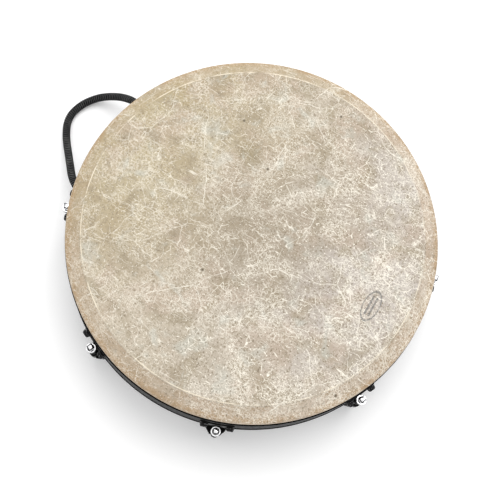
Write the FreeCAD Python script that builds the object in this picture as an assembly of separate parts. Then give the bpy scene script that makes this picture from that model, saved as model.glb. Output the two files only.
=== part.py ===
import FreeCAD, Part
import math
import os

# A tunable frame drum (bodhran) lying on its back, skin up. Millimetres, +Z up.
# The origin is the centre of the shell's back edge, and +Y points at the rope handle.

V = FreeCAD.Vector
UP = V(0, 0, 1)
ORIGIN = V(0, 0, 0)

# shell
SHELL_OUTER = 187.0
SHELL_WALL = 8.0
SHELL_INNER = SHELL_OUTER - SHELL_WALL
SHELL_TOP = 114.2
BEARING_RADIUS = 184.0          # crest of the bearing edge
BEARING_FLAT = 1.0
BEARING_DROP = 6.0              # height lost on the outside of the crest
BACK_ROUND = 1.5
DRILL_START = SHELL_INNER - 15.0    # radii between which the shell's wall is drilled
DRILL_END = SHELL_OUTER + 5.0
THROUGH = 400.0                 # length of a cutter that passes right through

# skin and its hoop
FILM = 0.3
SEAM = 0.3                      # gap between the flat skin and its collar
CREASE_RADIUS = 185.0
SKIN_EDGE_RADIUS = 203.0
SKIN_EDGE_Z = 103.0
SKIN_EDGE_DROP = 1.0            # height lost in the rounded edge
SKIN_HEM_Z = 93.0
FLESH_INNER = 196.0
FLESH_OUTER = SKIN_EDGE_RADIUS - FILM - 0.1
FLESH_BOTTOM = 84.0
FLESH_TOP = SKIN_EDGE_Z - 0.4
FLESH_CHAMFER = 1.0
FLESH_ROUND = 3.0
GROOVE_RADIUS = 199.0
GROOVE_BOTTOM = 88.0
GROOVE_TOP = 92.0

# tuning hoop
HOOP_INNER = 202.8
HOOP_WALL = 1.6
HOOP_OUTER = HOOP_INNER + HOOP_WALL
BEAD_RADIUS = 1.7               # the rolled lower edge
BEAD_CENTRE = HOOP_OUTER
BEAD_Z = 52.2
LIP_GAP = 0.2                   # between the lip and its groove
HOOP_TOP = GROOVE_TOP - LIP_GAP
LIP_INNER = GROOVE_RADIUS + LIP_GAP
LIP_THICK = GROOVE_TOP - GROOVE_BOTTOM - 2 * LIP_GAP

# lugs
LUGS = 8
LUG_START = 22.5
LUG_STEP = 360.0 / LUGS
ROD_CIRCLE = 211.5
ROD_RADIUS = 3.0
ROD_BOTTOM = 12.0
FIT = 0.05                      # radial clearance of a rod in its holes
KEY_SQUARE = 6.35
KEY_HEIGHT = 7.0
KEY_CHAMFER = 0.8
FLANGE_RADIUS = 5.4
FLANGE_THICK = 1.6
WASHER_RADIUS = 5.2
WASHER_THICK = 1.0

EAR_WALL = 1.5
EAR_HALF_WIDTH = 18.8
EAR_TOP = 79.0
EAR_TAB_TOP = 57.5
EAR_TAB_THICK = 2.5
EAR_TAB_HALF_WIDTH = 4.2
EAR_SHOULDER_Z = 61.0           # the ear is narrow below this
EAR_ROUND = 4.4                 # its outer corners
EAR_SHOULDER_ROUND = 2.4
EAR_BOLT_Z = 70.0
EAR_BOLT_OFFSET = 14.2

BRACKET_WALL = 3.0
BRACKET_HALF_WIDTH = 19.0
BRACKET_BOTTOM = 14.0
BRACKET_TOP = 33.0
BRACKET_ROUND = 3.0
BRACKET_BOLT_Z = 27.0
BRACKET_BOLT_OFFSET = 13.5
WEB_BOTTOM = 15.0
WEB_THICK = 4.5
WEB_MARGIN = 1.0                # foot left bare beside the web
WEB_SHOULDER = (ROD_CIRCLE - 4.5, 11.0)     # corners of the web: distance from the axis, half width
WEB_NOSE = (ROD_CIRCLE + 1.5, 6.0)
BOSS_RADIUS = 4.6
BOSS_TOP = 28.0

# M5 fasteners
BOLT_RADIUS = 2.5
BOLT_HOLE = 2.7
HEX_FLATS = 8.0
HEX_HEIGHT = 3.2
HEAD_FLANGE_RADIUS = 5.0
HEAD_FLANGE_THICK = 0.8
NUT_HEIGHT = 4.0
NUT_WASHER_RADIUS = 5.0
NUT_WASHER_THICK = 1.0
THREAD_PAST_NUT = 1.0

# crossbar
BAR_WIDTH = 24.0
BAR_HEIGHT = 14.0
BAR_BOTTOM = 22.0
BAR_ROUND = 4.0
BAR_SCREW_RADIUS = 2.0
BAR_SCREW_LENGTH = 32.0
BAR_SCREW_HEAD = 4.2
BAR_SCREW_HEAD_HEIGHT = 2.4

# rope handle
ROPE_RADIUS = 4.75
ROPE_Z = 42.0
ROPE_LEFT = 106.0               # azimuth of each rope hole
ROPE_RIGHT = 70.5
ROPE_END = 176.0
ROPE_BEND = 198.0
ROPE_LOOP = [
    (-50.2, 213.2, 38.0), (-24.0, 240.0, 20.0), (1.6, 266.0, 7.0), (22.8, 277.7, 5.3),
    (44.7, 274.7, 5.3), (62.5, 263.0, 8.0), (71.1, 246.7, 18.0), (75.0, 228.9, 30.0),
    (75.3, 211.0, 38.0),
]
ARC_SHARE = 0.45
GROMMET_BORE = 5.0
GROMMET_TUBE = 6.2
GROMMET_FLANGE = 8.5
GROMMET_LIP = 1.5
KNOT_RADIUS = 11.5
KNOT_SHOULDER_RADIUS = 9.8
KNOT_LENGTH = 20.0
KNOT_NECK_RADIUS = 6.0
KNOT_NECK_LENGTH = 4.0


def revolved(outline):
    """A solid of revolution about Z from (radius, height) points."""
    points = [V(r, 0, z) for r, z in outline]
    wire = Part.makePolygon(points + points[:1])
    return Part.Face(wire).revolve(ORIGIN, UP, 360)


def ring(inner, outer, low, high):
    return revolved([(inner, low), (outer, low), (outer, high), (inner, high)])


def block(x0, x1, half_width, z0, z1):
    return Part.makeBox(x1 - x0, 2 * half_width, z1 - z0, V(x0, -half_width, z0))


def turned(shape, azimuth):
    """A copy of a shape made at azimuth 0, turned about the drum's axis."""
    copy = shape.copy()
    copy.rotate(ORIGIN, UP, azimuth)
    return copy


def lug_angles():
    return [LUG_START + i * LUG_STEP for i in range(LUGS)]


def at_every_lug(shape):
    return Part.Compound([turned(shape, a) for a in lug_angles()])


def radial_cylinder(radius, start, end, side, height):
    """A cylinder along +X from start to end, at the given side and height."""
    return Part.makeCylinder(radius, end - start, V(start, side, height), V(1, 0, 0))


def hexagon(flats, start, end, side, height):
    corner = flats / math.sqrt(3)
    angles = [math.radians(60 * i) for i in range(6)]
    points = [V(start, side + corner * math.cos(a), height + corner * math.sin(a)) for a in angles]
    return Part.Face(Part.makePolygon(points + points[:1])).extrude(V(end - start, 0, 0))


def seat(radius, side):
    """Distance from the drum's axis, along X, of a round wall at this side offset."""
    return math.sqrt(radius ** 2 - side ** 2)


def shell():
    outline = [
        (SHELL_INNER + BACK_ROUND, 0), (SHELL_OUTER - BACK_ROUND, 0), (SHELL_OUTER, BACK_ROUND),
        (SHELL_OUTER, SHELL_TOP - BEARING_DROP), (BEARING_RADIUS + BEARING_FLAT / 2, SHELL_TOP),
        (BEARING_RADIUS - BEARING_FLAT / 2, SHELL_TOP),
        (SHELL_INNER, SHELL_TOP - (BEARING_RADIUS - SHELL_INNER)), (SHELL_INNER, BACK_ROUND),
    ]
    body = revolved(outline)
    cuts = []
    for azimuth in lug_angles():
        for side in (-BRACKET_BOLT_OFFSET, BRACKET_BOLT_OFFSET):
            hole = radial_cylinder(BOLT_HOLE, DRILL_START, DRILL_END, side, BRACKET_BOLT_Z)
            cuts.append(turned(hole, azimuth))
    for azimuth in (ROPE_LEFT, ROPE_RIGHT):
        hole = radial_cylinder(GROMMET_TUBE, DRILL_START, DRILL_END, 0, ROPE_Z)
        cuts.append(turned(hole, azimuth))
    for azimuth in (0, 180):
        hole = radial_cylinder(BAR_SCREW_RADIUS, DRILL_START, DRILL_END, 0, bar_middle())
        cuts.append(turned(hole, azimuth))
    return body.cut(Part.Compound(cuts))


def bar_middle():
    return BAR_BOTTOM + BAR_HEIGHT / 2


def head_skin():
    """The flat film inside the crease."""
    return Part.makeCylinder(CREASE_RADIUS, FILM, V(0, 0, SHELL_TOP))


def head_collar():
    """The film outside the crease: a cone down to the hoop, over its shoulder and down its side."""
    top = SHELL_TOP + FILM
    inner = CREASE_RADIUS + SEAM
    shoulder = SKIN_EDGE_RADIUS - FLESH_ROUND
    shoulder_z = SKIN_EDGE_Z + FLESH_ROUND / 2
    edge, edge_z = SKIN_EDGE_RADIUS, SKIN_EDGE_Z - SKIN_EDGE_DROP
    outline = [
        (inner, top), (shoulder, shoulder_z), (edge - FILM, SKIN_EDGE_Z + FILM), (edge, edge_z),
        (edge, SKIN_HEM_Z), (edge - FILM, SKIN_HEM_Z), (edge - FILM, edge_z),
        (edge - 2 * FILM, SKIN_EDGE_Z), (shoulder, shoulder_z - FILM), (inner, top - FILM),
    ]
    return revolved(outline)


def flesh_hoop():
    """The ring that the film is fixed to, with a groove for the tuning hoop's lip."""
    inner, outer, cut, top = FLESH_INNER, FLESH_OUTER, FLESH_CHAMFER, FLESH_TOP
    outline = [
        (inner, FLESH_BOTTOM), (outer, FLESH_BOTTOM), (outer, GROOVE_BOTTOM),
        (GROOVE_RADIUS, GROOVE_BOTTOM), (GROOVE_RADIUS, GROOVE_TOP), (outer, GROOVE_TOP),
        (outer, top - cut), (outer - cut, top), (inner + cut, top), (inner, top - cut),
    ]
    return revolved(outline)


def tuning_hoop():
    """A tall steel band with a rolled lower edge, whose lip sits in the flesh hoop's groove."""
    outline = [
        (HOOP_INNER, BEAD_Z), (HOOP_OUTER, BEAD_Z), (HOOP_OUTER, HOOP_TOP),
        (LIP_INNER, HOOP_TOP), (LIP_INNER, HOOP_TOP - LIP_THICK), (HOOP_INNER, HOOP_TOP - LIP_THICK),
    ]
    cuts = []
    for azimuth in lug_angles():
        for side in (-EAR_BOLT_OFFSET, EAR_BOLT_OFFSET):
            hole = radial_cylinder(BOLT_HOLE, HOOP_INNER - HOOP_WALL, ROD_CIRCLE, side, EAR_BOLT_Z)
            cuts.append(turned(hole, azimuth))
    bead = Part.makeTorus(BEAD_CENTRE, BEAD_RADIUS, V(0, 0, BEAD_Z))
    return revolved(outline).fuse(bead).cut(Part.Compound(cuts)).removeSplitter()


def rounded_prism(outline, radii):
    """A prism along X from the axis to the rods: an outline in Y and Z, a radius for each corner."""
    arcs = []
    count = len(outline)
    for i, radius in enumerate(radii):
        corner = V(0, *outline[i])
        before = (V(0, *outline[i - 1]) - corner).normalize()
        after = (V(0, *outline[(i + 1) % count]) - corner).normalize()
        start, end = corner + before * radius, corner + after * radius
        centre = start + after * radius
        middle = centre + (corner - centre).normalize() * radius
        arcs.append((start, middle, end))
    sides = []
    for i, (start, middle, end) in enumerate(arcs):
        sides.append(Part.Arc(start, middle, end).toShape())
        sides.append(Part.LineSegment(end, arcs[(i + 1) % count][0]).toShape())
    return Part.Face(Part.Wire(sides)).extrude(V(ROD_CIRCLE, 0, 0))


def hoop_ear():
    """A bent steel ear: a plate against the band, and a tab that the rod passes through."""
    low = EAR_TAB_TOP - EAR_TAB_THICK
    wide, narrow = EAR_HALF_WIDTH, EAR_HALF_WIDTH / 2
    half = [(wide, EAR_TOP), (wide, EAR_SHOULDER_Z), (narrow, EAR_SHOULDER_Z), (narrow, low)]
    outline = half + [(-y, z) for y, z in reversed(half)]
    corner_radii = [EAR_ROUND, EAR_ROUND, EAR_SHOULDER_ROUND, EAR_SHOULDER_ROUND]
    slab = rounded_prism(outline, corner_radii + corner_radii[::-1])
    plate = ring(HOOP_OUTER + FIT, HOOP_OUTER + EAR_WALL, low, EAR_TOP).common(slab)
    tab = block(HOOP_OUTER + EAR_WALL / 2, ROD_CIRCLE, EAR_TAB_HALF_WIDTH, low, EAR_TAB_TOP)
    tab = tab.fuse(Part.makeCylinder(FLANGE_RADIUS, EAR_TAB_THICK, V(ROD_CIRCLE, 0, low)))
    ear = plate.fuse(tab)
    hole = Part.makeCylinder(ROD_RADIUS + FIT, THROUGH, V(ROD_CIRCLE, 0, 0))
    ear = ear.cut(hole)
    for side in (-EAR_BOLT_OFFSET, EAR_BOLT_OFFSET):
        ear = ear.cut(radial_cylinder(BOLT_HOLE, SHELL_OUTER, ROD_CIRCLE, side, EAR_BOLT_Z))
    return ear.removeSplitter()


def shell_bracket():
    """A cast bracket on the shell: a curved foot, a tapering web and the rod's threaded boss."""
    wide = BRACKET_HALF_WIDTH
    outline = [(wide, BRACKET_TOP), (wide, BRACKET_BOTTOM), (-wide, BRACKET_BOTTOM), (-wide, BRACKET_TOP)]
    foot = ring(SHELL_OUTER + FIT, SHELL_OUTER + BRACKET_WALL, BRACKET_BOTTOM, BRACKET_TOP)
    foot = foot.common(rounded_prism(outline, [BRACKET_ROUND] * len(outline)))
    root = SHELL_OUTER + BRACKET_WALL / 2
    half = BRACKET_HALF_WIDTH - WEB_MARGIN
    side = [(root, half), WEB_SHOULDER, WEB_NOSE]
    points = [V(x, -y, WEB_BOTTOM) for x, y in side] + [V(x, y, WEB_BOTTOM) for x, y in reversed(side)]
    web = Part.Face(Part.makePolygon(points + points[:1])).extrude(V(0, 0, WEB_THICK))
    rib = block(root, ROD_CIRCLE, BRACKET_WALL / 2, WEB_BOTTOM, BOSS_TOP - BRACKET_WALL)
    boss = Part.makeCylinder(BOSS_RADIUS, BOSS_TOP - WEB_BOTTOM, V(ROD_CIRCLE, 0, WEB_BOTTOM))
    bracket = foot.fuse([web, rib, boss])
    bracket = bracket.cut(Part.makeCylinder(ROD_RADIUS + FIT, THROUGH, V(ROD_CIRCLE, 0, 0)))
    for side in (-BRACKET_BOLT_OFFSET, BRACKET_BOLT_OFFSET):
        bracket = bracket.cut(radial_cylinder(BOLT_HOLE, SHELL_INNER, ROD_CIRCLE, side, BRACKET_BOLT_Z))
    return bracket.removeSplitter()


def bolt_head(face, side, height):
    """A flanged hexagon head whose underside is at x = face."""
    flange = radial_cylinder(HEAD_FLANGE_RADIUS, face, face + HEAD_FLANGE_THICK, side, height)
    top = face + HEAD_FLANGE_THICK + HEX_HEIGHT
    return flange.fuse(hexagon(HEX_FLATS, face, top, side, height))


def bolts_at_lugs(outer_face, inner_face, offset, height):
    """Two bolts at each lug, from the head on outer_face to just past the nut inside."""
    solids = []
    for side in (-offset, offset):
        face = seat(outer_face, abs(side) - HEAD_FLANGE_RADIUS) + FIT
        end = nut_start(inner_face, side) - NUT_HEIGHT - THREAD_PAST_NUT
        bolt = radial_cylinder(BOLT_RADIUS, end, face + FIT, side, height)
        solids.append(bolt.fuse(bolt_head(face, side, height)).removeSplitter())
    return at_every_lug(Part.Compound(solids))


def nut_start(inner_face, side):
    """Where the nut bears on its washer, which bears on the round wall's inside."""
    return seat(inner_face, abs(side) + NUT_WASHER_RADIUS) - FIT - NUT_WASHER_THICK


def nuts_at_lugs(inner_face, offset, height):
    solids = []
    for side in (-offset, offset):
        start = nut_start(inner_face, side)
        nut = hexagon(HEX_FLATS, start - NUT_HEIGHT, start, side, height)
        solids.append(nut.cut(radial_cylinder(BOLT_RADIUS + FIT, 0, THROUGH, side, height)))
    return at_every_lug(Part.Compound(solids))


def washers_at_lugs(inner_face, offset, height):
    solids = []
    for side in (-offset, offset):
        start = nut_start(inner_face, side)
        disc = radial_cylinder(NUT_WASHER_RADIUS, start, start + NUT_WASHER_THICK, side, height)
        solids.append(disc.cut(radial_cylinder(BOLT_HOLE, 0, THROUGH, side, height)))
    return at_every_lug(Part.Compound(solids))


def tension_rod():
    """A rod with a flange and a square key head, turned by a drum key."""
    seat_z = EAR_TAB_TOP + WASHER_THICK
    shaft = Part.makeCylinder(ROD_RADIUS, seat_z - ROD_BOTTOM + FIT, V(ROD_CIRCLE, 0, ROD_BOTTOM))
    flange = Part.makeCylinder(FLANGE_RADIUS, FLANGE_THICK, V(ROD_CIRCLE, 0, seat_z))
    half = KEY_SQUARE / 2
    head_z = seat_z + FLANGE_THICK - FIT
    head = Part.makeBox(KEY_SQUARE, KEY_SQUARE, KEY_HEIGHT, V(ROD_CIRCLE - half, -half, head_z))
    rim = [e for e in head.Edges if e.BoundBox.ZMin > head_z + KEY_HEIGHT / 2]
    head = head.makeChamfer(KEY_CHAMFER, rim)
    return shaft.fuse([flange, head]).removeSplitter()


def rod_washers():
    seat_z = EAR_TAB_TOP
    disc = Part.makeCylinder(WASHER_RADIUS, WASHER_THICK - FIT, V(ROD_CIRCLE, 0, seat_z))
    hole = Part.makeCylinder(ROD_RADIUS + FIT, WASHER_THICK, V(ROD_CIRCLE, 0, seat_z))
    return at_every_lug(disc.cut(hole))


def crossbar():
    """A wooden bar across the back, rounded along its edges, with ends cut to the shell."""
    bar = Part.makeBox(2 * SHELL_OUTER, BAR_WIDTH, BAR_HEIGHT, V(-SHELL_OUTER, -BAR_WIDTH / 2, BAR_BOTTOM))
    long_edges = [e for e in bar.Edges if abs(e.BoundBox.XLength - 2 * SHELL_OUTER) < FIT]
    bar = bar.makeFillet(BAR_ROUND, long_edges)
    bar = bar.common(Part.makeCylinder(SHELL_INNER - FIT, THROUGH))
    start = SHELL_OUTER - BAR_SCREW_LENGTH - FIT
    for azimuth in (0, 180):
        bore = radial_cylinder(BAR_SCREW_RADIUS + FIT, start, SHELL_OUTER, 0, bar_middle())
        bar = bar.cut(turned(bore, azimuth))
    return bar


def crossbar_screws():
    screw = radial_cylinder(BAR_SCREW_RADIUS - FIT, SHELL_OUTER - BAR_SCREW_LENGTH, SHELL_OUTER + FIT,
                            0, bar_middle())
    head = Part.makeCone(BAR_SCREW_HEAD, BAR_SCREW_HEAD / 2, BAR_SCREW_HEAD_HEIGHT,
                         V(SHELL_OUTER + FIT, 0, bar_middle()), V(1, 0, 0))
    return Part.Compound([turned(screw.fuse(head), azimuth) for azimuth in (0, 180)])


def grommet(azimuth):
    """A two-lipped sleeve in the shell's rope hole."""
    inside = seat(SHELL_INNER, GROMMET_FLANGE) - FIT
    outside = SHELL_OUTER + FIT
    sleeve = radial_cylinder(GROMMET_TUBE - FIT, inside - GROMMET_LIP, outside + GROMMET_LIP, 0, ROPE_Z)
    lip_in = radial_cylinder(GROMMET_FLANGE, inside - GROMMET_LIP, inside, 0, ROPE_Z)
    lip_out = radial_cylinder(GROMMET_FLANGE, outside, outside + GROMMET_LIP, 0, ROPE_Z)
    bore = radial_cylinder(GROMMET_BORE, 0, THROUGH, 0, ROPE_Z)
    return turned(sleeve.fuse([lip_in, lip_out]).cut(bore), azimuth)


def rope_knot(azimuth):
    """A stopper knot inside the shell, as a plain closed form that the rope's end meets."""
    start = ROPE_END - KNOT_LENGTH
    middle = ROPE_END - KNOT_LENGTH / 2
    outline = [
        V(start, 0, 0), V(start, KNOT_NECK_RADIUS, 0),
        V(start + KNOT_NECK_LENGTH, KNOT_SHOULDER_RADIUS, 0), V(middle, KNOT_RADIUS, 0),
        V(ROPE_END - KNOT_NECK_LENGTH, KNOT_SHOULDER_RADIUS, 0), V(ROPE_END, KNOT_NECK_RADIUS, 0),
        V(ROPE_END, 0, 0),
    ]
    face = Part.Face(Part.makePolygon(outline + outline[:1]))
    knot = face.revolve(ORIGIN, V(1, 0, 0), 360)
    knot.translate(V(0, 0, ROPE_Z))
    return turned(knot, azimuth)


def polar(radius, azimuth, height):
    a = math.radians(azimuth)
    return V(radius * math.cos(a), radius * math.sin(a), height)


def rope_points():
    """The rope's route, from one knot out through the shell, round the loop and back in."""
    loop = [V(*p) for p in ROPE_LOOP]
    first = [polar(ROPE_END, ROPE_LEFT, ROPE_Z), polar(ROPE_BEND, ROPE_LEFT, ROPE_Z)]
    last = [polar(ROPE_BEND, ROPE_RIGHT, ROPE_Z), polar(ROPE_END, ROPE_RIGHT, ROPE_Z)]
    return first + loop + last


def handle_rope():
    """Straight runs joined by tangent arcs, each as large as its two runs allow."""
    points = rope_points()
    edges = []
    radii = []
    start = points[0]
    for before, corner, after in zip(points, points[1:], points[2:]):
        back = (before - corner).normalize()
        ahead = (after - corner).normalize()
        reach = ARC_SHARE * min((before - corner).Length, (after - corner).Length)
        half_turn = (math.pi - back.getAngle(ahead)) / 2
        radius = reach / math.tan(half_turn)
        arc_start = corner + back * reach
        arc_end = corner + ahead * reach
        to_centre = (back + ahead).normalize()
        middle = corner + to_centre * (radius / math.cos(half_turn) - radius)
        edges.append(Part.LineSegment(start, arc_start).toShape())
        edges.append(Part.Arc(arc_start, middle, arc_end).toShape())
        radii.append(radius)
        start = arc_end
    edges.append(Part.LineSegment(start, points[-1]).toShape())
    path = Part.Wire(edges)
    circle = Part.makeCircle(ROPE_RADIUS, points[0], points[1] - points[0])
    tube = path.makePipeShell([Part.Wire([circle])], True, True)
    expected = math.pi * ROPE_RADIUS ** 2 * path.Length
    print("rope length %.1f mm, radii %s" % (path.Length, [round(r) for r in radii]))
    print("rope volume / (section x length) = %.4f" % (tube.Volume / expected))
    return tube


def sub_parts():
    """Every node's name and shape."""
    parts = {
        "shell": shell(),
        "head_skin": head_skin(),
        "head_collar": head_collar(),
        "flesh_hoop": flesh_hoop(),
        "tuning_hoop": tuning_hoop(),
        "ear_bolts": bolts_at_lugs(HOOP_OUTER + EAR_WALL, HOOP_INNER, EAR_BOLT_OFFSET, EAR_BOLT_Z),
        "ear_washers": washers_at_lugs(HOOP_INNER, EAR_BOLT_OFFSET, EAR_BOLT_Z),
        "ear_nuts": nuts_at_lugs(HOOP_INNER, EAR_BOLT_OFFSET, EAR_BOLT_Z),
        "bracket_bolts": bolts_at_lugs(SHELL_OUTER + BRACKET_WALL, SHELL_INNER, BRACKET_BOLT_OFFSET,
                                       BRACKET_BOLT_Z),
        "bracket_washers": washers_at_lugs(SHELL_INNER, BRACKET_BOLT_OFFSET, BRACKET_BOLT_Z),
        "bracket_nuts": nuts_at_lugs(SHELL_INNER, BRACKET_BOLT_OFFSET, BRACKET_BOLT_Z),
        "rod_washers": rod_washers(),
        "crossbar": crossbar(),
        "crossbar_screws": crossbar_screws(),
        "handle_rope": handle_rope(),
    }
    ear, bracket, rod = hoop_ear(), shell_bracket(), tension_rod()
    for number, azimuth in enumerate(lug_angles(), 1):
        parts["hoop_ear_%d" % number] = turned(ear, azimuth)
        parts["shell_bracket_%d" % number] = turned(bracket, azimuth)
        parts["tension_rod_%d" % number] = turned(rod, azimuth)
    for side, azimuth in (("left", ROPE_LEFT), ("right", ROPE_RIGHT)):
        parts["rope_grommet_" + side] = grommet(azimuth)
        parts["rope_knot_" + side] = rope_knot(azimuth)
    return parts


def main():
    os.makedirs("parts", exist_ok=True)
    for name, shape in sub_parts().items():
        shape.exportStep("parts/%s.step" % name)
        solids = len(shape.Solids)
        print("%-20s %d solid(s) %10.1f mm3 valid %s" % (name, solids, shape.Volume, shape.isValid()))


main()
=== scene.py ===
import math

import bmesh
import bpy
import numpy as np
from mathutils import Matrix, Quaternion, Vector, noise


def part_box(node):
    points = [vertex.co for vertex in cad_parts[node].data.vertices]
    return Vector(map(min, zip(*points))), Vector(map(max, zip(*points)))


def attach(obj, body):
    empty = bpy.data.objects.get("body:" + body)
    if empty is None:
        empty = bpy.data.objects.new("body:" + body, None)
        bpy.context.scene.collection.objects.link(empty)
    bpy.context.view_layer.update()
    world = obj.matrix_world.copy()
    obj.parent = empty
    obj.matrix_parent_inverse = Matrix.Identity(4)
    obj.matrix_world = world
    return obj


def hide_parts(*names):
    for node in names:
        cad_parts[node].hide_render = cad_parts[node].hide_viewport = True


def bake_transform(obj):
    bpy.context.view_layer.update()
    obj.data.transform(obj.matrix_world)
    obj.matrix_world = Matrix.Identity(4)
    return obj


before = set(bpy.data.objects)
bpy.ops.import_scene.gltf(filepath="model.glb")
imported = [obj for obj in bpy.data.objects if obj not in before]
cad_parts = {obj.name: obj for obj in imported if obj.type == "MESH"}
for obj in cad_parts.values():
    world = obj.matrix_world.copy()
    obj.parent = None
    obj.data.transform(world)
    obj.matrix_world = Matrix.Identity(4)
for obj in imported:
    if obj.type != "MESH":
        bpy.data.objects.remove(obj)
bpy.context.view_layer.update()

TURN = 2 * math.pi

# Places read from the frame.
SKIN_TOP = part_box("head_skin")[1].z
FILM = SKIN_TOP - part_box("head_skin")[0].z
CREASE_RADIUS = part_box("head_skin")[1].x
SKIN_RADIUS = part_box("head_collar")[1].x
HEM_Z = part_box("head_collar")[0].z
SHELL_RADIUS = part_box("shell")[1].x
HOOP_BOTTOM, HOOP_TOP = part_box("tuning_hoop")[0].z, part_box("tuning_hoop")[1].z
RODS = sorted(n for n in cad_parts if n.startswith("tension_rod"))
EARS = sorted(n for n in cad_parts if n.startswith("hoop_ear"))
BRACKETS = sorted(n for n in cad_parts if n.startswith("shell_bracket"))
LUG_START, LUG_STEP = 22.5, 45  # degrees
LUG_ANGLES = [math.radians(LUG_START + LUG_STEP * i) for i in range(len(RODS))]

# ---------------------------------------------------------------- camera, light and floor

CAMERA_TILT = math.radians(16.1)
CAMERA_AZIMUTH = math.radians(198.2)
CAMERA_ROLL = math.radians(-56.6)
CAMERA_DISTANCE = 0.966
CAMERA_LENS = 64.8
CAMERA_SHIFT = (-0.0098, -0.039)
WORLD_LIGHT = 0.76
OVERHEAD_LIGHT = WORLD_LIGHT * 1.35
OVERHEAD_FROM, OVERHEAD_TO = 0.74, 0.86     # heights of direction between which the light rises
KEY_LIGHT = 29
KEY_AZIMUTH, KEY_ELEVATION = 12, 64
KEY_DISTANCE, KEY_SIZE = 2.2, 2.1
FLOOR_HALF = 40
FLOOR_GLOW = 0.14


def make_camera():
    """The camera, leaning by its tilt from straight above the head, and turned by its roll."""
    data = bpy.data.cameras.new("camera")
    data.lens = CAMERA_LENS
    data.shift_x, data.shift_y = CAMERA_SHIFT
    data.clip_end = 50
    camera = bpy.data.objects.new("camera", data)
    bpy.context.scene.collection.objects.link(camera)
    lean = Vector((-math.sin(CAMERA_AZIMUTH), math.cos(CAMERA_AZIMUTH), 0))
    turn = Quaternion(lean, CAMERA_TILT) @ Quaternion((0, 0, 1), CAMERA_ROLL)
    camera.rotation_mode = "QUATERNION"
    camera.rotation_quaternion = turn
    camera.location = Vector((0, 0, SKIN_TOP)) + turn @ Vector((0, 0, CAMERA_DISTANCE))
    bpy.context.scene.camera = camera


def make_light(name, azimuth, elevation, distance, size, energy):
    """A round lamp that shines at the origin from azimuth and elevation, in degrees."""
    data = bpy.data.lights.new(name, "AREA")
    data.shape = "DISK"
    data.size = size
    data.energy = energy
    light = bpy.data.objects.new(name, data)
    bpy.context.scene.collection.objects.link(light)
    a, e = math.radians(azimuth), math.radians(elevation)
    towards = Vector((math.cos(a) * math.cos(e), math.sin(a) * math.cos(e), math.sin(e)))
    light.location = towards * distance
    light.rotation_mode = "QUATERNION"
    light.rotation_quaternion = towards.to_track_quat("Z", "Y")


def studio_world():
    """An even surround, brighter overhead so that polished faces show their shape."""
    world = bpy.data.worlds.new("studio")
    bpy.context.scene.world = world
    world.use_nodes = True
    g = Graph(world.node_tree)
    height = g.split(g.direction)["Z"]
    strength = g.band(height, OVERHEAD_FROM, OVERHEAD_TO, WORLD_LIGHT, OVERHEAD_LIGHT)
    g.tree.links.new(strength, world.node_tree.nodes["Background"].inputs["Strength"])
    set_inputs(world.node_tree.nodes["Background"], {"Color": (1.0, 1.0, 1.0, 1.0)})


def make_stage():
    studio_world()
    bm = bmesh.new()
    bmesh.ops.create_grid(bm, x_segments=1, y_segments=1, size=FLOOR_HALF)
    floor = add_mesh("floor", bm)
    material, _, shader = new_material("floor_paper", 0.95)
    set_inputs(shader, {"Base Color": (0.95, 0.95, 0.95, 1), "Specular IOR Level": 0.1,
                        "Emission Color": (1, 1, 1, 1), "Emission Strength": FLOOR_GLOW})
    floor.data.materials.append(material)
    make_light("key", KEY_AZIMUTH, KEY_ELEVATION, KEY_DISTANCE, KEY_SIZE, KEY_LIGHT)
    bpy.context.scene.view_settings.view_transform = "Standard"


# ---------------------------------------------------------------- mesh helpers


def add_mesh(name, bm, smooth_angle=None):
    """Makes an object of a bmesh, and shades it smooth up to an angle."""
    mesh = bpy.data.meshes.new(name)
    bmesh.ops.recalc_face_normals(bm, faces=bm.faces)
    bm.to_mesh(mesh)
    bm.free()
    obj = bpy.data.objects.new(name, mesh)
    bpy.context.scene.collection.objects.link(obj)
    if smooth_angle is not None:
        mesh.shade_smooth()
        mesh.set_sharp_from_angle(angle=math.radians(smooth_angle))
    return obj


def lathe(bm, outline, segments, spin=None):
    """Adds a closed outline of (radius, height) points turned about Z, then moved by the spin matrix."""
    spin = spin or Matrix.Identity(4)
    rings = []
    for radius, height in outline:
        if radius < 1e-7:
            rings.append([bm.verts.new(spin @ Vector((0, 0, height)))])
            continue
        ring = []
        for i in range(segments):
            a = TURN * i / segments
            ring.append(bm.verts.new(spin @ Vector((radius * math.cos(a), radius * math.sin(a), height))))
        rings.append(ring)
    pairs = list(zip(rings, rings[1:]))
    if len(rings[0]) > 1 and len(rings[-1]) > 1:
        pairs.append((rings[-1], rings[0]))
    for low, high in pairs:
        for i in range(segments):
            j = (i + 1) % segments
            corners = [low[i % len(low)], low[j % len(low)], high[j % len(high)], high[i % len(high)]]
            unique = list(dict.fromkeys(corners))
            if len(unique) > 2:
                bm.faces.new(unique)


def rounded(points, radius, steps=4):
    """An outline's corners, each replaced by a small arc no larger than its two sides allow."""
    result = []
    count = len(points)
    for i, p in enumerate(points):
        p = Vector(p)
        before, after = Vector(points[i - 1]) - p, Vector(points[(i + 1) % count]) - p
        reach = min(radius, 0.45 * before.length, 0.45 * after.length)
        a, b = p + before.normalized() * reach, p + after.normalized() * reach
        for k in range(steps + 1):
            t = k / steps
            result.append(tuple(a * (1 - t) ** 2 + p * 2 * t * (1 - t) + b * t ** 2))
    return result


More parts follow.
